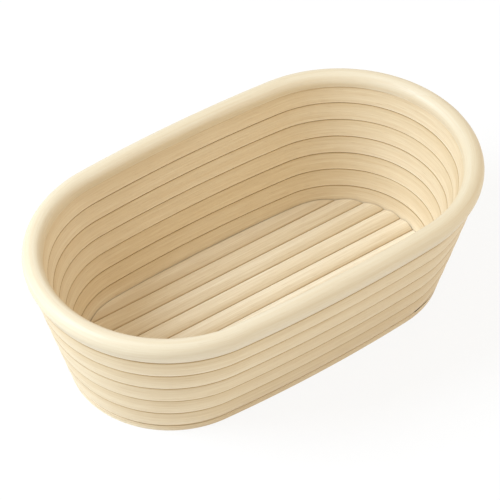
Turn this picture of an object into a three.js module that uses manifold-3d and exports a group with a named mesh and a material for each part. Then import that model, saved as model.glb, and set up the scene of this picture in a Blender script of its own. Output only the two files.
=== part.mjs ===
import * as THREE from 'three';
import { mergeVertices } from 'three/addons/utils/BufferGeometryUtils.js';
import Module from 'manifold-3d';

// Oblong proofing basket of bent cane: a wall of two windings, back to back, on a foot, a rim hooked over
// the inner winding and a floor of straight canes.
// Millimetres, +Z up, +X along the basket, origin on the table under its middle.

const wasm = await Module();
wasm.setup();

// Plan, measured over the rim
const outerLength = 254;
const outerWidth = 150;
const sideBulge = 2; // bow of the long sides past the round ends

// Wall: an inner and an outer winding of half canes
const wallLean = 0.26; // outward travel for each millimetre of height
const innerThickness = 3.8; // across the wall
const outerThickness = 4.4;
const coursePitch = 9.6; // rise of one turn of the inner winding
const innerTurns = 7;
const outerTurns = 5;
const turnGap = 0.5; // left between neighbouring turns
const caneSquareness = 4; // power of the superellipse of its section

// Rim
const rimWidth = 10.4;
const rimAboveWall = 6.7; // what shows of the rim above the top turn, inside
const rimLap = 6; // what hangs down outside the inner winding, on to the outer one
const rimEdge = 0.8; // bevel of the rim's lower outer edge
const wallSetback = 0.2; // inner face of the wall behind that of the rim
const rimScarfLength = 30;

// Foot
const footHeight = 4.5;
const footScarfLength = 30;
const footScarfX = -23; // middle of the scarf, on the near side

// Floor
const floorCaneCount = 9;
const floorCaneHeight = 7;
const floorLift = 0.3; // floor canes stay off the table
const floorCaneGap = 0.4;
const floorSquareness = 2.2;
const floorTrim = 1.2; // planed off the outer canes where they meet the wall

// Headless pins
const pinDiameter = 1.4;
const pinBite = 5; // depth in each of the two pieces that a pin joins
const floorPinBite = 8; // depth in the end of a floor cane
const footPinBite = 2.5; // depth in the low foot
const rimPinBite = 4; // depth in the rim
const pinsPerSeam = 3;

// Clearances
const seatGap = 0.35; // between pieces that seat on one another
const pinClearance = 0.3;
const kerf = 0.45; // saw cut of a scarf joint
const sawSpan = 40; // length of the saw cut across its piece

// Facets
const endSteps = 14; // steps round each end
const sideSteps = 4; // steps along each long side
const climbSteps = 5; // steps in which a turn climbs to the next course
const featherSteps = 2; // steps left off the feather edge at both ends of the winding
const pinStartSteps = 5; // steps from the climb to the first pin of a seam
const caneSides = 8;
const rimSteps = 10; // steps round the top of the rim's profile
const floorCaneSides = 12;
const pinSides = 6;

// Heights
const wallBottom = footHeight + seatGap;
const wallTop = wallBottom + innerTurns * coursePitch;
const rimSeat = wallTop + seatGap;
const rimTop = rimSeat + rimAboveWall;
const rimCentre = rimTop - rimWidth / 2;
const lapBottom = rimSeat - rimLap;
const outerTop = lapBottom - seatGap;
const outerPitch = (outerTop - wallBottom) / outerTurns;

// Plan outline: four tangent arcs, two round ends and two long bowed sides
const endRadius = outerWidth / 2 - sideBulge;
const endCentre = outerLength / 2 - endRadius;
const sideCentre = (endCentre ** 2 - sideBulge ** 2) / (2 * sideBulge);
const sideRadius = outerWidth / 2 + sideCentre;
const sideAngle = Math.atan2(endCentre, sideCentre);

// Lean of the wall as an angle, and thicknesses across the wall measured level
const leanAngle = Math.atan(wallLean);
const wallThickness = innerThickness + seatGap + outerThickness;
const halfWallLevel = wallThickness / 2 / Math.cos(leanAngle);
const seatGapLevel = seatGap / Math.cos(leanAngle);

// Each winding: its turns, their rise, its thickness and top, and its place in from the wall's middle
const inner = {
  turns: innerTurns,
  pitch: coursePitch,
  thickness: innerThickness,
  top: wallTop,
  shift: (wallThickness - innerThickness) / 2 / Math.cos(leanAngle),
};
const outer = {
  turns: outerTurns,
  pitch: outerPitch,
  thickness: outerThickness,
  top: outerTop,
  shift: (outerThickness - wallThickness) / 2 / Math.cos(leanAngle),
};

// Inset of the wall's middle line from the rim's outline at a height
function wallInset(z) {
  const insetAtTop = rimWidth - wallSetback - halfWallLevel;
  return insetAtTop + wallLean * (wallTop - z);
}

// Point at a height on the outline, moved in by an inset, where the outline faces along an angle
function outlinePoint(angle, inset, z) {
  const onEnd = Math.abs(Math.cos(angle)) >= Math.sin(sideAngle) - 1e-9;
  const radius = (onEnd ? endRadius : sideRadius) - inset;
  const centreX = onEnd ? endCentre * Math.sign(Math.cos(angle)) : 0;
  const centreY = onEnd ? 0 : -sideCentre * Math.sign(Math.sin(angle));
  return new THREE.Vector3(centreX + radius * Math.cos(angle), centreY + radius * Math.sin(angle), z);
}

const upward = new THREE.Vector3(0, 0, 1);

function outwardAt(angle) {
  return new THREE.Vector3(Math.cos(angle), Math.sin(angle), 0);
}

// Angles of one turn, from the near corner of the right end, anticlockwise from above
function turnAngles() {
  const corner = Math.PI / 2 - sideAngle;
  const angles = [];
  for (const half of [0, Math.PI]) {
    for (let step = 0; step < endSteps; step += 1) {
      angles.push(half + THREE.MathUtils.lerp(-corner, corner, step / endSteps));
    }
    for (let step = 0; step < sideSteps; step += 1) {
      angles.push(half + THREE.MathUtils.lerp(corner, Math.PI - corner, step / sideSteps));
    }
  }
  return angles;
}

const angles = turnAngles();
const stationsPerTurn = angles.length;

// Angle half way from a station to the next
function midAngle(station) {
  const next = station + 1 < stationsPerTurn ? angles[station + 1] : angles[0] + 2 * Math.PI;
  return (angles[station] + next) / 2;
}

// Superellipse section as [across, up] pairs, of full width and height; a higher power is squarer
function caneSection(width, height, sides, power) {
  const bulge = (value) => Math.sign(value) * Math.abs(value) ** (2 / power);
  const turns = Array.from({ length: sides }, (_, side) => (2 * Math.PI * side) / sides);
  const crown = Math.max(...turns.map((turn) => bulge(Math.sin(turn))));
  const across = (turn) => (width / 2) * bulge(Math.cos(turn));
  const up = (turn) => (height / 2 / crown) * bulge(Math.sin(turn));
  return turns.map((turn) => [across(turn), up(turn)]);
}

// Height of a leaning cane's section, for a rise that leaves the gap between turns
function caneHeight(pitch) {
  return pitch / Math.cos(leanAngle) - turnGap;
}

// Ring of a cane that leans with the wall, with its middle at a height and shifted in
function leaningRing(angle, z, section, shift) {
  const outward = ([across, up]) => across * Math.cos(leanAngle) + up * Math.sin(leanAngle);
  const upward = ([across, up]) => up * Math.cos(leanAngle) - across * Math.sin(leanAngle);
  const middle = wallInset(z) + shift;
  return section.map((pair) => outlinePoint(angle, middle - outward(pair), z + upward(pair)));
}

// Closed solid through rings of equal counts, each clockwise about the way they go:
// a hoop, or a bar with flat ends
function loft(rings, isHoop) {
  const count = rings[0].length;
  const positions = rings.flat().flatMap((point) => point.toArray());
  const index = [];
  const spans = isHoop ? rings.length : rings.length - 1;
  for (let ring = 0; ring < spans; ring += 1) {
    const here = ring * count;
    const next = ((ring + 1) % rings.length) * count;
    for (let side = 0; side < count; side += 1) {
      const other = (side + 1) % count;
      index.push(here + side, next + other, here + other);
      index.push(here + side, next + side, next + other);
    }
  }
  const last = (rings.length - 1) * count;
  for (let side = 1; !isHoop && side < count - 1; side += 1) {
    index.push(0, side, side + 1);
    index.push(last, last + side + 1, last + side);
  }
  const geometry = new THREE.BufferGeometry();
  geometry.setAttribute('position', new THREE.Float32BufferAttribute(positions, 3));
  geometry.setIndex(index);
  return toSolid(geometry);
}

function toSolid(geometry) {
  const bare = geometry.clone();
  bare.deleteAttribute('normal');
  bare.deleteAttribute('uv');
  const merged = mergeVertices(bare);
  const vertProperties = new Float32Array(merged.attributes.position.array);
  const triVerts = new Uint32Array(merged.index.array);
  return new wasm.Manifold(new wasm.Mesh({ numProp: 3, vertProperties, triVerts }));
}

function toGeometry(solid) {
  const mesh = solid.getMesh();
  const geometry = new THREE.BufferGeometry();
  geometry.setAttribute('position', new THREE.Float32BufferAttribute(mesh.vertProperties, 3));
  geometry.setIndex(Array.from(mesh.triVerts));
  geometry.computeVertexNormals();
  return geometry;
}

function subtractAll(solid, tools) {
  return tools.reduce((rest, tool) => rest.subtract(tool), solid);
}

// Solid planed flat at two heights
function planed(solid, low, high) {
  const slab = new THREE.BoxGeometry(2 * outerLength, 2 * outerWidth, high - low);
  slab.translate(0, 0, (high + low) / 2);
  return solid.intersect(toSolid(slab));
}

// Slanted saw cut through a hoop at a place: it spans one axis, and along the hoop it slopes
// towards another, through a depth in a length
function scarfCut(place, spanAxis, slopeAxis, depth, length) {
  const cut = new THREE.BoxGeometry(2 * length, sawSpan, kerf);
  cut.rotateY(Math.atan(depth / length));
  const along = new THREE.Vector3().crossVectors(spanAxis, slopeAxis);
  cut.applyMatrix4(new THREE.Matrix4().makeBasis(along, spanAxis, slopeAxis).setPosition(place));
  return toSolid(cut);
}

// Headless pin from a start along a direction
function makePin(start, direction, length) {
  const unit = direction.clone().normalize();
  const turn = new THREE.Quaternion().setFromUnitVectors(new THREE.Vector3(0, 1, 0), unit);
  return { middle: start.clone().addScaledVector(unit, length / 2), turn, length };
}

function pinHole(pin) {
  const radius = pinDiameter / 2 + pinClearance;
  const hole = new THREE.CylinderGeometry(radius, radius, pin.length + 2 * pinClearance, pinSides);
  hole.applyQuaternion(pin.turn);
  hole.translate(pin.middle.x, pin.middle.y, pin.middle.z);
  return toSolid(hole);
}

// Direction up the leaning wall
function upTheWall(angle) {
  return upward.clone().addScaledVector(outwardAt(angle), wallLean).normalize();
}

// Winding: level round the basket, climbing one course in the near corner of the right end,
// so that both its ends are wedges under the next turn and over the last one
function windingRings({ turns, pitch, thickness, shift }) {
  const section = caneSection(thickness, caneHeight(pitch), caneSides, caneSquareness);
  const rings = [];
  const lastStation = turns * stationsPerTurn + climbSteps - featherSteps;
  for (let station = featherSteps; station <= lastStation; station += 1) {
    const turn = Math.floor(station / stationsPerTurn);
    const climb = THREE.MathUtils.smoothstep(station % stationsPerTurn, 0, climbSteps);
    const z = wallBottom + (turn - 0.5 + climb) * pitch;
    rings.push(leaningRing(angles[station % stationsPerTurn], z, section, shift));
  }
  return rings;
}

// Least distance from the points of each ring to the outline of the rings one turn on
function leastTurnGap(rings) {
  const edge = new THREE.Line3();
  const nearest = new THREE.Vector3();
  let least = Infinity;
  for (let ring = 1; ring + stationsPerTurn + 1 < rings.length; ring += 1) {
    for (const step of [-1, 0, 1]) {
      const other = rings[ring + stationsPerTurn + step];
      for (const point of rings[ring]) {
        other.forEach((corner, side) => {
          edge.set(corner, other[(side + 1) % other.length]).closestPointToPoint(point, true, nearest);
          least = Math.min(least, nearest.distanceTo(point));
        });
      }
    }
  }
  return least;
}

function makeWinding(name, winding) {
  const rings = windingRings(winding);
  console.log(`least gap between turns of ${name}: ${leastTurnGap(rings).toFixed(2)} mm`);
  return planed(loft(rings, false), wallBottom, winding.top);
}

// Pins across the seams of the inner winding, staggered from seam to seam and clear of the climb
function makeWallPins() {
  const pins = [];
  const firstStation = climbSteps + pinStartSteps;
  const spacing = Math.floor((stationsPerTurn - firstStation) / pinsPerSeam);
  for (let seam = 1; seam < innerTurns; seam += 1) {
    for (let copy = 0; copy < pinsPerSeam; copy += 1) {
      const stagger = Math.floor(((seam - 1) * spacing) / innerTurns);
      const angle = midAngle(firstStation + copy * spacing + stagger);
      const z = wallBottom + seam * coursePitch;
      const direction = upTheWall(angle);
      const onSeam = outlinePoint(angle, wallInset(z) + inner.shift, z);
      pins.push(makePin(onSeam.addScaledVector(direction, -pinBite), direction, 2 * pinBite));
    }
  }
  return pins;
}

// Upright pins on the long sides, between a winding and the piece under or over it
function makeSidePins(winding, seatHeight, biteBelow, biteAbove) {
  const pins = [];
  for (const side of [endSteps, endSteps + stationsPerTurn / 2]) {
    for (const station of [side, side + sideSteps - 1]) {
      const angle = midAngle(station);
      const inset = wallInset(seatHeight) + winding.shift;
      const start = outlinePoint(angle, inset, seatHeight - biteBelow);
      pins.push(makePin(start, upward, biteBelow + biteAbove));
    }
  }
  return pins;
}

// Rim profile as [inset, height] pairs: a step that sits on the inner winding and laps down its outer face
// to the outer winding, an outer face that leans as the wall does, and a round top
function rimProfile() {
  const radius = rimWidth / 2;
  const lapOffset = inner.shift - innerThickness / 2 / Math.cos(leanAngle) - seatGapLevel;
  const lapInset = (z) => wallInset(z) + lapOffset;
  const onCircle = (turn) => [radius * (1 - Math.cos(turn)), rimCentre + radius * Math.sin(turn)];
  const [faceInset, faceTop] = onCircle(-leanAngle);
  const onFace = (z) => [faceInset + wallLean * (faceTop - z), z];
  const profile = [[lapInset(rimSeat), rimSeat], [lapInset(lapBottom), lapBottom]];
  profile.push([onFace(lapBottom)[0] + rimEdge, lapBottom], onFace(lapBottom + rimEdge));
  for (let step = 0; step <= rimSteps; step += 1) {
    profile.push(onCircle(THREE.MathUtils.lerp(-leanAngle, Math.PI, step / rimSteps)));
  }
  profile.push([rimWidth, rimSeat]);
  return profile;
}

function makeRim() {
  const profile = rimProfile();
  const hoop = loft(angles.map((angle) => profile.map(([inset, z]) => outlinePoint(angle, inset, z))), true);
  const angle = midAngle(Math.floor(endSteps / 2));
  const place = outlinePoint(angle, rimWidth / 2, rimCentre);
  return hoop.subtract(scarfCut(place, upward, outwardAt(angle), rimWidth, rimScarfLength));
}

// Foot: a cane as thick as the wall, sawn flat above and below, scarfed on the near side
function makeFoot() {
  const section = caneSection(wallThickness, caneHeight(coursePitch), caneSides, caneSquareness);
  const middle = wallBottom - coursePitch / 2;
  const hoop = loft(angles.map((angle) => leaningRing(angle, middle, section, 0)), true);
  const inset = wallInset(footHeight / 2);
  const angle = Math.asin(footScarfX / (sideRadius - inset)) - Math.PI / 2;
  const place = outlinePoint(angle, inset, footHeight / 2);
  const scarf = scarfCut(place, outwardAt(angle), upward, footHeight, footScarfLength);
  return planed(hoop, 0, footHeight).subtract(scarf);
}

// Floor: straight canes side by side, cut to the leaning inside of the foot and the bottom turn
const floorTop = floorLift + floorCaneHeight;
const floorMiddle = floorLift + floorCaneHeight / 2;
const floorInset = (z) => wallInset(z) + halfWallLevel + seatGapLevel;
const floorWidth = outerWidth - 2 * floorInset(floorMiddle) + 2 * floorTrim;
const floorCanePitch = (floorWidth + floorCaneGap) / floorCaneCount;

function floorCaneY(index) {
  return (index - (floorCaneCount - 1) / 2) * floorCanePitch;
}

function makeFloorCane(index) {
  const width = floorCanePitch - floorCaneGap;
  const section = caneSection(width, floorCaneHeight, floorCaneSides, floorSquareness);
  const y = floorCaneY(index);
  const barRing = (x) => section.map(([across, up]) => new THREE.Vector3(x, y + across, floorMiddle + up));
  const bar = loft([barRing(outerLength / 2), barRing(-outerLength / 2)], false);
  const plugRing = (z) => angles.map((angle) => outlinePoint(angle, floorInset(z), z));
  const plug = loft([plugRing(floorTop + seatGap), plugRing(floorLift - seatGap)], false);
  return bar.intersect(plug);
}

// Level pins from the foot into both ends of a floor cane
function makeFloorPins(index) {
  const z = footHeight / 2;
  const y = floorCaneY(index);
  const endX = endCentre + Math.sqrt((endRadius - floorInset(z)) ** 2 - y ** 2);
  return [-1, 1].map((end) => {
    const start = new THREE.Vector3(end * (endX - floorPinBite), y, z);
    return makePin(start, new THREE.Vector3(end, 0, 0), floorPinBite + pinBite);
  });
}

const basket = new THREE.Group();

function addNode(name, geometry, colour, roughness, metalness) {
  const material = new THREE.MeshStandardMaterial({ color: colour, roughness, metalness, flatShading: true });
  const mesh = new THREE.Mesh(geometry, material);
  mesh.name = name;
  basket.add(mesh);
  return mesh;
}

function addPins(name, pins) {
  pins.forEach((pin, index) => {
    const rod = new THREE.CylinderGeometry(pinDiameter / 2, pinDiameter / 2, pin.length, pinSides);
    const mesh = addNode(`${name}_${index + 1}`, rod, 0x9a9a98, 0.4, 1);
    mesh.quaternion.copy(pin.turn);
    mesh.position.copy(pin.middle);
  });
}

const wallPins = makeWallPins();
const rimPins = makeSidePins(inner, wallTop, pinBite, rimPinBite);
const footPins = makeSidePins(outer, wallBottom, footPinBite, pinBite);
const floorPins = [];

const innerHoles = [...wallPins, ...rimPins].map(pinHole);
const innerWall = subtractAll(makeWinding('the inner winding', inner), innerHoles);
const outerWall = subtractAll(makeWinding('the outer winding', outer), footPins.map(pinHole));
addNode('rim_cane', toGeometry(subtractAll(makeRim(), rimPins.map(pinHole))), 0xf0e4cb, 0.55, 0);
addNode('wall_winding', toGeometry(innerWall), 0xe6d4ad, 0.6, 0);
addNode('outer_winding', toGeometry(outerWall), 0xe6d4ad, 0.6, 0);

for (let index = 0; index < floorCaneCount; index += 1) {
  const pins = makeFloorPins(index);
  const cane = subtractAll(makeFloorCane(index), pins.map(pinHole));
  addNode(`floor_cane_${index + 1}`, toGeometry(cane), 0xe9d8b4, 0.6, 0);
  floorPins.push(...pins);
}

const foot = subtractAll(makeFoot(), [...footPins, ...floorPins].map(pinHole));
addNode('foot_cane', toGeometry(foot), 0xdfcba2, 0.65, 0);
addPins('wall_pin', wallPins);
addPins('rim_pin', rimPins);
addPins('foot_pin', footPins);
addPins('floor_pin', floorPins);

export default basket;
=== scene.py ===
import math

import bpy
import numpy as np
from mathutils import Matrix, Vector


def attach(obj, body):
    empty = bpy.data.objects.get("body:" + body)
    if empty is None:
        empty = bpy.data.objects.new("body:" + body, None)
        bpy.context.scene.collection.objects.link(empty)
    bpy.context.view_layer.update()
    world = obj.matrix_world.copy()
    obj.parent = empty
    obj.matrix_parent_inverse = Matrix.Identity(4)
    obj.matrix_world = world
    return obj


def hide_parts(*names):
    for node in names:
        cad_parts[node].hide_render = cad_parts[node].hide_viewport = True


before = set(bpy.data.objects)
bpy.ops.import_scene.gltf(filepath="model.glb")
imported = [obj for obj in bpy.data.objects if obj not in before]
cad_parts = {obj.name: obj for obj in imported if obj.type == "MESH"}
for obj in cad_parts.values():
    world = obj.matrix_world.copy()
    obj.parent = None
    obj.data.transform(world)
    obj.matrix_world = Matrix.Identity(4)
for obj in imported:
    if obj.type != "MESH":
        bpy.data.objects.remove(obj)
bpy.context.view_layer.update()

print("stage: frame loaded,", len(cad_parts), "nodes")

scene = bpy.context.scene
mm = 0.001  # shapes are worked out in millimetres and put into the meshes in metres

# Plan over the rim: two round ends and two long bowed sides, all tangent arcs
plan = {"length": 254.0, "width": 150.0, "bulge": 2.0}
endRadius = plan["width"] / 2 - plan["bulge"]
endCentre = plan["length"] / 2 - endRadius
sideCentre = (endCentre**2 - plan["bulge"]**2) / (2 * plan["bulge"])
sideRadius = plan["width"] / 2 + sideCentre
sideAngle = math.atan2(endCentre, sideCentre)
cornerAngle = math.pi / 2 - sideAngle


# Point of the plan that faces along an angle: arc centre plus (arc radius - inset) times (cos, sin)
def planPoint(angle, inset):
    onEnd = np.abs(np.cos(angle)) >= math.sin(sideAngle) - 1e-9
    radius = np.where(onEnd, endRadius, sideRadius) - inset
    centreX = np.where(onEnd, endCentre * np.sign(np.cos(angle)), 0.0)
    centreY = np.where(onEnd, 0.0, -sideCentre * np.sign(np.sin(angle)))
    return centreX + radius * np.cos(angle), centreY + radius * np.sin(angle)


# Angles of one turn from the near corner of the right end: even steps round an end, then along a side, twice
def turnAngles(endSteps, sideSteps):
    end = np.linspace(-cornerAngle, cornerAngle, endSteps, endpoint=False)
    side = np.linspace(cornerAngle, math.pi - cornerAngle, sideSteps, endpoint=False)
    half = np.concatenate([end, side])
    return np.concatenate([half, half + math.pi])


# Length along a row of points, from zero
def pathLength(x, y, z):
    steps = np.sqrt(np.diff(x)**2 + np.diff(y)**2 + np.diff(z)**2)
    return np.concatenate([[0.0], np.cumsum(steps)])


# Flat cane: across = half thickness - crown (2 up / height)^2 on both faces, edges rounded by parabolas;
# the points go round from the middle of the bottom
def caneSection(thickness, height, crown, edge, faceSteps=7, edgeSteps=5):
    faceUp = np.linspace(0, height / 2 - edge, faceSteps)
    faceAcross = thickness / 2 - crown * (2 * faceUp / height)**2
    share = np.linspace(0, 1, edgeSteps)[1:]
    quarterUp = np.concatenate([faceUp, height / 2 - edge * (1 - share)**2, [height / 2]])
    quarterAcross = np.concatenate([faceAcross, faceAcross[-1] - edge * share**2, [0.0]])
    sideUp = np.concatenate([-quarterUp[:0:-1], quarterUp])
    sideAcross = np.concatenate([quarterAcross[:0:-1], quarterAcross])
    return np.concatenate([sideAcross, -sideAcross[-2:0:-1]]), np.concatenate([sideUp, sideUp[-2:0:-1]])


# Slow waviness of a cane: a sum of three sines along its length
def waver(along, size, seed):
    return size * (np.sin(along / 71 + seed) + 0.6 * np.sin(along / 37 + 2.3 * seed)
                   + 0.4 * np.sin(along / 19 + 4.1 * seed)) / 2


# Surface over a grid of points [station, side]: quads along and round, ends closed by fans.
# The UV map "canePath" holds the length along the cane and the way round it, in metres, and "caneFace" the
# place across its face that sets the painted shade, from 0 at the edge painted pale to 1 at the edge painted
# dark.
def cane(name, points, along, around, face, isHoop=False):
    rows, sides = points.shape[:2]
    spans = rows if isHoop else rows - 1
    row, side = np.meshgrid(np.arange(spans), np.arange(sides), indexing="ij")
    nextRow, nextSide = (row + 1) % rows, (side + 1) % sides
    quads = np.stack([row * sides + side, nextRow * sides + side,
                      nextRow * sides + nextSide, row * sides + nextSide], -1).reshape(-1, 4)
    alongEnds = np.append(along, along[-1] + along[1] - along[0])
    aroundEnds = np.append(around, around[-1] + around[1] - around[0])
    quadU = alongEnds[np.stack([row, row + 1, row + 1, row], -1)].reshape(-1)
    quadV = aroundEnds[np.stack([side, side, side + 1, side + 1], -1)].reshape(-1)
    quadFace = np.append(face, face[0])[np.stack([side, side, side + 1, side + 1], -1)].reshape(-1)
    vertices = points.reshape(-1, 3)
    corners, starts, counts = [quads.reshape(-1)], np.arange(len(quads)) * 4, np.full(len(quads), 4)
    allU, allV, allFace = [quadU], [quadV], [quadFace]
    if not isHoop:
        vertices = np.concatenate([vertices, points[[0, -1]].mean(1)])
        step = np.arange(sides)
        first = np.stack([np.full(sides, rows * sides), step, (step + 1) % sides], -1)
        base = (rows - 1) * sides
        last = np.stack([np.full(sides, rows * sides + 1), base + (step + 1) % sides, base + step], -1)
        fans = np.concatenate([first, last]).reshape(-1)
        starts = np.concatenate([starts, len(quads) * 4 + 3 * np.arange(2 * sides)])
        counts = np.concatenate([counts, np.full(2 * sides, 3)])
        corners.append(fans)
        allU.append(np.repeat([along[0], along[-1]], 3 * sides))
        fanV = np.stack([np.full(sides, around.mean()), around, aroundEnds[1:]], -1).reshape(-1)
        allV.append(np.tile(fanV, 2))
        allFace.append(np.full(6 * sides, 0.5))
    corners = np.concatenate(corners)
    mesh = bpy.data.meshes.new(name)
    mesh.vertices.add(len(vertices))
    mesh.vertices.foreach_set("co", (vertices * mm).astype(np.float32).reshape(-1))
    mesh.loops.add(len(corners))
    mesh.loops.foreach_set("vertex_index", corners.astype(np.int32))
    mesh.polygons.add(len(starts))
    mesh.polygons.foreach_set("loop_start", starts.astype(np.int32))
    mesh.polygons.foreach_set("loop_total", counts.astype(np.int32))
    mesh.polygons.foreach_set("use_smooth", np.ones(len(starts), bool))
    mesh.update(calc_edges=True)
    uvMap = mesh.uv_layers.new(name="canePath")
    uv = np.stack([np.concatenate(allU), np.concatenate(allV)], -1) * mm
    uvMap.uv.foreach_set("vector", uv.astype(np.float32).reshape(-1))
    faceMap = mesh.uv_layers.new(name="caneFace")
    faceUv = np.stack([np.concatenate(allFace), np.concatenate(allU) * mm], -1)
    faceMap.uv.foreach_set("vector", faceUv.astype(np.float32).reshape(-1))
    # outward when the volume under its faces is positive
    quadPoints = vertices[quads]
    volume = np.einsum("ij,ij->i", quadPoints[:, 0], np.cross(quadPoints[:, 1], quadPoints[:, 2])).sum()
    volume += np.einsum("ij,ij->i", quadPoints[:, 0], np.cross(quadPoints[:, 2], quadPoints[:, 3])).sum()
    if volume < 0:
        mesh.flip_normals()
    mesh.set_sharp_from_angle(angle=math.radians(42))
    mesh.validate()
    piece = bpy.data.objects.new(name, mesh)
    scene.collection.objects.link(piece)
    return piece


def placePiece(piece, node, material):
    piece.data.materials.append(material)
    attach(piece, "root")
    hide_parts(node)
    print("stage:", piece.name, len(piece.data.polygons), "faces")


# Node helpers
def addNode(tree, kind, place, **values):
    node = tree.nodes.new(kind)
    node.location = place
    for key, value in values.items():
        if hasattr(node, key):
            setattr(node, key, value)
        else:
            node.inputs[key].default_value = value
    return node


def join(tree, source, target):
    tree.links.new(source, target)


def colour(red, green, blue):
    # sRGB values from 0 to 255, as linear light
    parts = np.array([red, green, blue]) / 255
    linear = np.where(parts <= 0.04045, parts / 12.92, ((parts + 0.055) / 1.055)**2.4)
    return (*linear.tolist(), 1.0)


# Stretched noise along the cane: a few marks a metre along it, many across it
def grain(tree, path, place, along, across, seed, detail, rough):
    mapping = addNode(tree, "ShaderNodeMapping", place)
    mapping.inputs["Scale"].default_value = (along, across, 1.0)
    mapping.inputs["Location"].default_value = (0.0, 0.0, seed)
    noise = addNode(tree, "ShaderNodeTexNoise", (place[0] + 200, place[1]), Scale=1.0, Detail=detail,
                    Roughness=rough)
    join(tree, path, mapping.inputs["Vector"])
    join(tree, mapping.outputs["Vector"], noise.inputs["Vector"])
    return noise.outputs["Fac"]


def ramp(tree, value, place, low, high, lowValue, highValue):
    node = addNode(tree, "ShaderNodeMapRange", place)
    node.inputs["From Min"].default_value = low
    node.inputs["From Max"].default_value = high
    node.inputs["To Min"].default_value = lowValue
    node.inputs["To Max"].default_value = highValue
    join(tree, value, node.inputs["Value"])
    return node.outputs["Result"]


def mixColour(tree, place, factor, first, second, blend="MIX"):
    node = addNode(tree, "ShaderNodeMix", place, data_type="RGBA", blend_type=blend)
    join(tree, factor, node.inputs["Factor"])
    for socket, value in ((node.inputs[6], first), (node.inputs[7], second)):
        if isinstance(value, tuple):
            socket.default_value = value
        else:
            join(tree, value, socket)
    return node.outputs[2]


# Bare cane: pale ground, long soft streaks, fine fibres, short dark pores, a slow change of tone along it and a
# painted shade across its face, from a painted pale edge to a painted brown one, where green and blue fall by a
# power of the red
def caneMaterial(name, finish):
    material = bpy.data.materials.new(name)
    material.use_nodes = True
    tree = material.node_tree
    tree.nodes.clear()
    path = addNode(tree, "ShaderNodeUVMap", (-1500, 0), uv_map="canePath").outputs["UV"]
    seed = finish["seed"]
    tone = grain(tree, path, (-1300, 400), 4, 25, seed, 2, 0.5)
    streak = grain(tree, path, (-1300, 150), 9, 620, seed + 3, 3, 0.55)
    fibre = grain(tree, path, (-1300, -100), 45, 2300, seed + 7, 3, 0.6)
    pore = grain(tree, path, (-1300, -350), 130, 3000, seed + 11, 1, 0.4)
    toneMix = ramp(tree, tone, (-900, 400), 0.3, 0.7, 0.0, finish["toneChange"])
    streakMix = ramp(tree, streak, (-900, 150), 0.36, 0.66, 0.0, finish["streaks"])
    fibreMix = ramp(tree, fibre, (-900, -100), 0.35, 0.65, 0.0, finish["fibres"])
    poreMix = ramp(tree, pore, (-900, -350), 0.66, 0.78, 0.0, finish["pores"])
    ground = mixColour(tree, (-650, 400), toneMix, finish["light"], finish["warm"])
    streaked = mixColour(tree, (-450, 300), streakMix, ground, finish["dark"])
    fibred = mixColour(tree, (-250, 200), fibreMix, streaked, finish["dark"])
    pored = mixColour(tree, (-250, -50), poreMix, fibred, finish["poreColour"])
    # painted light across the face: the stops paint one edge pale as if lit and the other brown as if in shade
    face = addNode(tree, "ShaderNodeUVMap", (-700, 700), uv_map="caneFace").outputs["UV"]
    split = addNode(tree, "ShaderNodeSeparateXYZ", (-500, 700))
    shade = addNode(tree, "ShaderNodeValToRGB", (-300, 700))
    join(tree, face, split.inputs[0])
    join(tree, split.outputs["X"], shade.inputs["Fac"])
    places = finish["paintedShades"]
    stops = shade.color_ramp.elements
    while len(stops) < len(places):
        stops.new(0.5)
    for stop, (place, level) in zip(stops, places):
        stop.position = place
        stop.color = (level, level**finish["paintedShadeBrowning"][0], level**finish["paintedShadeBrowning"][1], 1.0)
    shaded = addNode(tree, "ShaderNodeMix", (0, 300), data_type="RGBA", blend_type="MULTIPLY")
    shaded.inputs["Factor"].default_value = 1.0
    join(tree, pored, shaded.inputs[6])
    join(tree, shade.outputs["Color"], shaded.inputs[7])
    shader = addNode(tree, "ShaderNodeBsdfPrincipled", (350, 100))
    shader.inputs["Specular IOR Level"].default_value = finish["gloss"]
    rough = ramp(tree, fibre, (-50, -200), 0.3, 0.7, finish["rough"] - 0.06, finish["rough"] + 0.08)
    height = addNode(tree, "ShaderNodeMath", (-50, -400), operation="ADD")
    join(tree, fibreMix, height.inputs[0])
    join(tree, streakMix, height.inputs[1])
    bump = addNode(tree, "ShaderNodeBump", (150, -350), Strength=finish["bump"], Distance=0.0004)
    bump.invert = True
    join(tree, height.outputs[0], bump.inputs["Height"])
    join(tree, shaded.outputs[2], shader.inputs["Base Color"])
    join(tree, rough, shader.inputs["Roughness"])
    join(tree, bump.outputs["Normal"], shader.inputs["Normal"])
    output = addNode(tree, "ShaderNodeOutputMaterial", (650, 100))
    join(tree, shader.outputs["BSDF"], output.inputs["Surface"])
    return material


# Cane colours and grain, with painted shade across each wall course: painted pale at its lower edge as if lit
# from below, painted brown at its top edge as if in the shade of the course above
caneFinish = {
    "seed": 1.0, "light": colour(244, 233, 211), "warm": colour(236, 220, 189), "dark": colour(210, 183, 141),
    "poreColour": colour(180, 146, 100), "toneChange": 0.7, "streaks": 0.30, "fibres": 0.38, "pores": 0.42,
    "gloss": 0.35, "rough": 0.52, "bump": 0.22, "paintedShadeBrowning": (1.4, 2.1),
    "paintedShades": ((0.0, 1.0), (0.05, 0.97), (0.12, 0.94), (0.5, 0.90), (0.94, 0.83), (1.0, 0.58)),
}
# Rim: painted highlight along its lower edges, as if lit from below, the rest painted a little darker
rimPaintedShades = ((0.0, 1.0), (0.1, 0.94), (1.0, 0.94))
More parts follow.
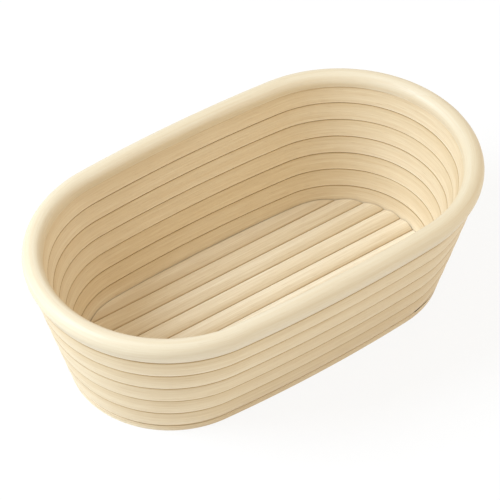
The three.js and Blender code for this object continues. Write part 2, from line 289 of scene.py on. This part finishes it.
# Floor canes: a paler copy of the cane, painted light as if lit more than the wall, with painted light across
# each cane: far flank painted pale as if lit, near flank painted brown as if in shade
floorFinish = {**caneFinish, "light": colour(250, 241, 222), "warm": colour(243, 229, 201),
               "paintedShades": ((0.0, 1.0), (0.06, 0.98), (0.4, 0.95), (0.92, 0.80), (1.0, 0.55))}
wallMaterial = caneMaterial("wallCane", {**caneFinish, "seed": 1.0})
rimMaterial = caneMaterial("rimCane", {**caneFinish, "seed": 21.0, "light": colour(232, 223, 204),
                                       "warm": colour(226, 213, 186), "streaks": 0.22, "fibres": 0.22,
                                       "pores": 0.20, "gloss": 0.45, "rough": 0.46, "paintedShades": rimPaintedShades})
footMaterial = caneMaterial("footCane", {**caneFinish, "seed": 41.0})
floorMaterials = [caneMaterial(f"floorCane{index + 1}", {**floorFinish, "seed": 61.0 + 20 * index})
                  for index in range(9)]
print("stage: materials")

# Wall: two windings back to back, in level turns that climb one course in the near corner of the right end
wall = {"lean": 0.26, "thickness": 8.55, "bottom": 4.85, "top": 72.05, "topInset": 5.783,
        "climb": 5 / 14, "feather": 1 / 35, "endSteps": 70, "sideSteps": 20}
innerCane = {"thickness": 3.8, "turns": 7, "top": 72.05, "seam": 0.2, "crown": 0.35, "edge": 0.35, "side": 1,
             "waver": 0.06, "seed": 1.7}
outerCane = {"thickness": 4.4, "turns": 5, "top": 66.05, "seam": 0.2, "crown": 0.4, "edge": 0.35, "side": -1,
             "waver": 0.06, "seed": 4.4}
leanAngle = math.atan(wall["lean"])
halfWallLevel = wall["thickness"] / 2 / math.cos(leanAngle)


def wallInset(z):
    return wall["topInset"] + wall["lean"] * (wall["top"] - z)


# Leaning cane: the section turned by the lean, its middle at wallInset(z) + shift, planed between two heights
def leaningCane(angle, z, shift, across, up, low, high):
    outward = across * math.cos(leanAngle) + up * math.sin(leanAngle)
    rise = up * math.cos(leanAngle) - across * math.sin(leanAngle)
    height = z[:, None] + rise[None, :]
    inset = wallInset(z)[:, None] + shift - outward[None, :]
    planed = np.clip(height, low, high)
    inset = inset - wall["lean"] * (planed - height)
    x, y = planPoint(angle[:, None], inset)
    return np.stack([x, y, planed], -1)


def perimeter(across, up):
    return pathLength(np.append(across, across[0]), np.append(up, up[0]), np.zeros(len(up) + 1))[:-1]


def makeWinding(name, node, winding):
    angles = turnAngles(wall["endSteps"], wall["sideSteps"])
    perTurn = len(angles)
    climbSteps = round(wall["climb"] * wall["endSteps"])
    feather = round(wall["feather"] * wall["endSteps"])
    pitch = (winding["top"] - wall["bottom"]) / winding["turns"]
    shift = winding["side"] * (wall["thickness"] - winding["thickness"]) / 2 / math.cos(leanAngle)
    station = np.arange(feather, winding["turns"] * perTurn + climbSteps - feather + 1)
    share = np.clip((station % perTurn) / climbSteps, 0, 1)
    climb = share * share * (3 - 2 * share)  # smoothstep
    z = wall["bottom"] + (station // perTurn - 0.5 + climb) * pitch
    angle = angles[station % perTurn]
    x, y = planPoint(angle, wallInset(z) + shift)
    along = pathLength(x, y, z)
    height = pitch / math.cos(leanAngle) - winding["seam"]
    across, up = caneSection(winding["thickness"], height, winding["crown"], winding["edge"])
    points = leaningCane(angle, z, shift, across, up, wall["bottom"], winding["top"])
    sway = waver(along, winding["waver"], winding["seed"])[:, None]
    points[..., 0] += sway * np.cos(angle)[:, None]
    points[..., 1] += sway * np.sin(angle)[:, None]
    # painted shade across each course: 0 at its lower edge, painted pale, 1 at its top edge, painted dark
    piece = cane(name, points, along, perimeter(across, up), 0.5 + up / height)
    placePiece(piece, node, wallMaterial)


makeWinding("wall_cane_inner", "wall_winding", innerCane)
makeWinding("wall_cane_outer", "outer_winding", outerCane)

# Rim: round on top, its outer face leaning in to meet the wall's, stepped to sit on the inner winding and lap
# down to the outer one, scarfed in the right end
rim = {"width": 10.4, "above": 6.7, "lap": 6.15, "edge": 0.4, "faceLean": 0.48, "seatGap": 0.35, "seatSide": 6,
       "edgeSteps": 8, "topSteps": 40, "endSteps": 90, "sideSteps": 24, "scarf": 30.0, "scarfAngle": 0.107,
       "joint": 0.03, "scarfSteps": 12, "scarfMargin": 0.02, "waver": 0.08, "waverSeed": 0.6}
rimSeat = wall["top"] + rim["seatGap"]
rimCentre = rimSeat + rim["above"] - rim["width"] / 2


# Profile as insets and heights: down the lap's inner face, along its foot, round its edge by a parabola, up the
# outer face and round the top by an arc, down the inner face and back along the seat
def rimProfile():
    radius = rim["width"] / 2
    lapBottom = rimSeat - rim["lap"]
    lapOffset = halfWallLevel - (innerCane["thickness"] + rim["seatGap"]) / math.cos(leanAngle)
    turn = np.linspace(-math.atan(rim["faceLean"]), math.pi, rim["topSteps"])
    topInset = radius * (1 - np.cos(turn))
    topZ = rimCentre + radius * np.sin(turn)
    corner = topInset[0] + rim["faceLean"] * (topZ[0] - lapBottom)
    share = np.linspace(0, 1, rim["edgeSteps"])
    edgeInset = corner + rim["edge"] * (1 - share)**2 - rim["faceLean"] * rim["edge"] * share**2
    edgeZ = lapBottom + rim["edge"] * share**2
    lapZ = np.linspace(rimSeat, lapBottom, rim["seatSide"])
    lap = wallInset(lapZ) + lapOffset
    foot = np.linspace(lap[-1], edgeInset[0], rim["seatSide"])[1:-1]
    faceShare = np.linspace(0, 1, rim["seatSide"])[1:-1]
    faceInset = edgeInset[-1] + (topInset[0] - edgeInset[-1]) * faceShare
    faceZ = edgeZ[-1] + (topZ[0] - edgeZ[-1]) * faceShare
    seat = np.linspace(rim["width"], lap[0], rim["seatSide"])[:-1]
    footZ, seatZ = np.full(len(foot), lapBottom), np.full(len(seat), rimSeat)
    return (np.concatenate([lap, foot, edgeInset, faceInset, topInset, seat]),
            np.concatenate([lapZ, footZ, edgeZ, faceZ, topZ, seatZ]))


def makeRim():
    inset, z = rimProfile()
    turn = np.concatenate([turnAngles(rim["endSteps"], rim["sideSteps"]), [2 * math.pi - cornerAngle]])
    # both ends are cut along one slanted plane, so a point further in starts later along the rim
    slant = (inset - rim["width"] / 2) / rim["width"] * rim["scarf"] / (endRadius - rim["width"] / 2)
    startAngle = rim["scarfAngle"] + slant
    first = np.searchsorted(turn, rim["scarfAngle"] + np.abs(slant).max() + rim["scarfMargin"])
    last = np.searchsorted(turn, rim["scarfAngle"] - np.abs(slant).max() - rim["scarfMargin"])
    body = np.concatenate([turn[first:-1], turn[:last] + 2 * math.pi])
    gap = rim["joint"] / endRadius
    leadShare = np.linspace(0, 1, rim["scarfSteps"], endpoint=False)[:, None]
    lead = startAngle + gap + leadShare * (body[0] - startAngle - gap)
    trailShare = np.linspace(0, 1, rim["scarfSteps"] + 1)[1:, None]
    trail = body[-1] + trailShare * (startAngle + 2 * math.pi - gap - body[-1])
    angle = np.concatenate([lead, np.repeat(body[:, None], len(inset), 1), trail])
    x, y = planPoint(angle, np.broadcast_to(inset, angle.shape))
    height = np.broadcast_to(z, angle.shape)
    along = pathLength(x.mean(1), y.mean(1), height.mean(1))
    points = np.stack([x, y, height], -1)
    points[..., 2] += waver(along, rim["waver"], rim["waverSeed"])[:, None]
    # painted highlight at the rim's two lower edges: the place across its face counts from 0 there up to its
    # top
    edge = np.where(inset < rim["width"] / 2, rimSeat - rim["lap"], rimSeat)
    face = np.clip((z - edge) / (rimCentre + rim["width"] / 2 - edge), 0, 1)
    piece = cane("rim_cane_bent", points, along, perimeter(inset, z), face)
    placePiece(piece, "rim_cane", rimMaterial)


makeRim()

# Foot: a cane as thick as the wall, sawn flat above and below
foot = {"height": 4.7, "caneHeight": 9.6, "middle": 0.05, "crown": 0.3, "edge": 0.35, "deepestPaintedShade": 0.9,
        "endSteps": 70, "sideSteps": 20}


def makeFoot():
    across, up = caneSection(wall["thickness"], foot["caneHeight"], foot["crown"], foot["edge"])
    turn = turnAngles(foot["endSteps"], foot["sideSteps"])
    z = np.full(len(turn), foot["middle"])
    points = leaningCane(turn, z, 0.0, across, up, 0.0, foot["height"])
    x, y = planPoint(turn, wallInset(z))
    # painted shade: darker towards the foot's top edge, under the wall
    face = np.clip(foot["deepestPaintedShade"] * up * 2 / foot["caneHeight"], 0, 1)
    piece = cane("foot_cane_sawn", points, pathLength(x, y, z), perimeter(across, up), face, isHoop=True)
    placePiece(piece, "foot_cane", footMaterial)


makeFoot()

# Floor: straight canes side by side, their ends cut to the leaning inside of the wall
floor = {"count": 9, "height": 7.0, "lift": 0.3, "gap": 0.4, "trim": 1.2, "seam": 0.2, "crown": 1.0,
         "edge": 0.4, "steps": 60, "seatGap": 0.25, "waver": 0.05}
floorMiddle = floor["lift"] + floor["height"] / 2


def floorInset(z):
    return wallInset(z) + halfWallLevel + floor["seatGap"] / math.cos(leanAngle)


# Where a line along the floor meets the wall: on the end's arc, or on the side's arc for an outer flank
def floorReach(y, z):
    endRoom = (endRadius - floorInset(z))**2 - y**2
    sideRoom = (sideRadius - floorInset(z))**2 - (np.abs(y) + sideCentre)**2
    return np.where(endRoom > 0, endCentre + np.sqrt(np.abs(endRoom)), np.sqrt(np.maximum(sideRoom, 0)))


def makeFloor():
    width = plan["width"] - 2 * floorInset(floorMiddle) + 2 * floor["trim"]
    pitch = (width + floor["gap"]) / floor["count"]
    up, across = caneSection(floor["height"], pitch - floor["seam"], floor["crown"], floor["edge"])
    for index in range(floor["count"]):
        middle = (index - (floor["count"] - 1) / 2) * pitch
        room = plan["width"] / 2 - floorInset(floorMiddle + up)
        y = np.clip(middle + across, -room, room)
        reach = floorReach(y, floorMiddle + up)
        share = np.linspace(-1, 1, floor["steps"])[:, None]
        x = share * reach[None, :]
        along = share[:, 0] * reach.mean()
        points = np.stack([x, np.broadcast_to(y, x.shape), np.broadcast_to(floorMiddle + up, x.shape)], -1)
        points[..., 2] += waver(along, floor["waver"], 1.0 + index)[:, None]
        # painted light across each cane: 0 at its far flank, painted pale, 1 at its near flank, painted dark
        face = 0.5 - across / pitch
        piece = cane(f"floor_cane_{index + 1}_straight", points, along, perimeter(across, up), face)
        placePiece(piece, f"floor_cane_{index + 1}", floorMaterials[index])


makeFloor()


# Pins: drawn steel wire, fine scratches along Object coordinates; they stay hidden in the canes
def pinSteel():
    material = bpy.data.materials.new("pinSteel")
    material.use_nodes = True
    tree = material.node_tree
    shader = tree.nodes["Principled BSDF"]
    shader.inputs["Metallic"].default_value = 1.0
    place = addNode(tree, "ShaderNodeTexCoord", (-900, 0)).outputs["Object"]
    mapping = addNode(tree, "ShaderNodeMapping", (-700, 0))
    mapping.inputs["Scale"].default_value = (4000, 4000, 300)
    noise = addNode(tree, "ShaderNodeTexNoise", (-500, 0), Scale=1.0, Detail=2.0)
    join(tree, place, mapping.inputs["Vector"])
    join(tree, mapping.outputs["Vector"], noise.inputs["Vector"])
    tint = mixColour(tree, (-250, 100), noise.outputs["Fac"], colour(150, 150, 148), colour(182, 181, 178))
    join(tree, tint, shader.inputs["Base Color"])
    join(tree, ramp(tree, noise.outputs["Fac"], (-250, -150), 0.3, 0.7, 0.3, 0.5), shader.inputs["Roughness"])
    return material


steel = pinSteel()
for nodeName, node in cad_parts.items():
    if "_pin_" in nodeName:
        node.data.materials.clear()
        node.data.materials.append(steel)
print("stage: pins")

# Floor of the studio and white surroundings
studio = {"size": 8.0, "paper": colour(242, 242, 242), "shadowShare": 0.14, "fill": 0.68,
          "fillTint": (1.0, 0.92, 0.78, 1.0)}


def whiteToCamera(tree, place):
    path = addNode(tree, "ShaderNodeLightPath", place)
    glossy = addNode(tree, "ShaderNodeMath", (place[0] + 180, place[1]), operation="MAXIMUM")
    clear = addNode(tree, "ShaderNodeMath", (place[0] + 360, place[1]), operation="MAXIMUM")
    join(tree, path.outputs["Is Camera Ray"], glossy.inputs[0])
    join(tree, path.outputs["Is Glossy Ray"], glossy.inputs[1])
    join(tree, glossy.outputs[0], clear.inputs[0])
    join(tree, path.outputs["Is Transmission Ray"], clear.inputs[1])
    return clear.outputs[0]


def makeStudio():
    half = studio["size"] / 2
    mesh = bpy.data.meshes.new("studio_floor")
    corners = [(-half, -half, 0), (half, -half, 0), (half, half, 0), (-half, half, 0)]
    mesh.from_pydata(corners, [], [(0, 1, 2, 3)])
    paper = bpy.data.objects.new("studio_floor", mesh)
    scene.collection.objects.link(paper)
    material = bpy.data.materials.new("paper")
    material.use_nodes = True
    tree = material.node_tree
    tree.nodes.clear()
    seen = ramp(tree, whiteToCamera(tree, (-900, 200)), (-300, 200), 0, 1, 0, 1 - studio["shadowShare"])
    matte = addNode(tree, "ShaderNodeBsdfDiffuse", (-300, 0), Color=studio["paper"])
    white = addNode(tree, "ShaderNodeEmission", (-300, -150), Strength=1.0)
    blend = addNode(tree, "ShaderNodeMixShader", (0, 0))
    output = addNode(tree, "ShaderNodeOutputMaterial", (200, 0))
    join(tree, seen, blend.inputs[0])
    join(tree, matte.outputs[0], blend.inputs[1])
    join(tree, white.outputs[0], blend.inputs[2])
    join(tree, blend.outputs[0], output.inputs["Surface"])
    mesh.materials.append(material)
    world = bpy.data.worlds.new("whiteRoom")
    scene.world = world
    world.use_nodes = True
    tree = world.node_tree
    tree.nodes.clear()
    seen = whiteToCamera(tree, (-900, 0))
    strength = ramp(tree, seen, (-300, 0), 0, 1, studio["fill"], 1)
    background = addNode(tree, "ShaderNodeBackground", (0, 0))
    tint = mixColour(tree, (-300, 200), seen, studio["fillTint"], (1.0, 1.0, 1.0, 1.0))
    output = addNode(tree, "ShaderNodeOutputWorld", (200, 0))
    join(tree, strength, background.inputs["Strength"])
    join(tree, tint, background.inputs["Color"])
    join(tree, background.outputs[0], output.inputs["Surface"])


makeStudio()


# Soft lamps: each stands at a distance along a direction from the basket's middle and faces it
lamps = {
    "key": {"towards": (-0.68, 0.34, 0.65), "distance": 1.6, "size": 0.9, "power": 29.5,
            "tint": (0.70, 0.84, 1.0)},
    "side": {"towards": (0.65, -0.60, 0.45), "distance": 2.0, "size": 1.6, "power": 11.0,
             "tint": (1.0, 0.97, 0.9)},
}


def makeLamps():
    for name, lamp in lamps.items():
        data = bpy.data.lights.new(name, "AREA")
        data.shape = "DISK"
        data.size = lamp["size"]
        data.energy = lamp["power"]
        data.color = lamp["tint"]
        light = bpy.data.objects.new(name, data)
        towards = Vector(lamp["towards"]).normalized()
        light.location = Vector((0, 0, 0.04)) + towards * lamp["distance"]
        light.rotation_mode = "QUATERNION"
        light.rotation_quaternion = (-towards).to_track_quat("-Z", "Y")
        scene.collection.objects.link(light)


makeLamps()

# Camera at the photograph's angle, on a 500 x 500 image
lens = {"azimuth": -36.154, "elevation": 44.172, "distance": 1.47598, "aimHeight": 0.040,
        "focalPixels": 2879.63, "imageSize": 500, "offsetX": 6.702, "offsetY": 5.355}


def makeCamera():
    data = bpy.data.cameras.new("camera")
    data.sensor_width = 36.0
    data.sensor_fit = "HORIZONTAL"
    data.lens = lens["focalPixels"] / lens["imageSize"] * data.sensor_width
    data.shift_x = -lens["offsetX"] / lens["imageSize"]
    data.shift_y = lens["offsetY"] / lens["imageSize"]
    data.clip_end = 20.0
    azimuth, elevation = math.radians(lens["azimuth"]), math.radians(lens["elevation"])
    back = Vector((math.sin(azimuth) * math.cos(elevation), -math.cos(azimuth) * math.cos(elevation),
                   math.sin(elevation)))
    camera = bpy.data.objects.new("camera", data)
    camera.location = Vector((0, 0, lens["aimHeight"])) + back * lens["distance"]
    camera.rotation_mode = "QUATERNION"
    camera.rotation_quaternion = (-back).to_track_quat("-Z", "Y")
    scene.collection.objects.link(camera)
    scene.camera = camera


makeCamera()
scene.view_settings.view_transform = "Standard"
print("stage: studio, lamps and camera")
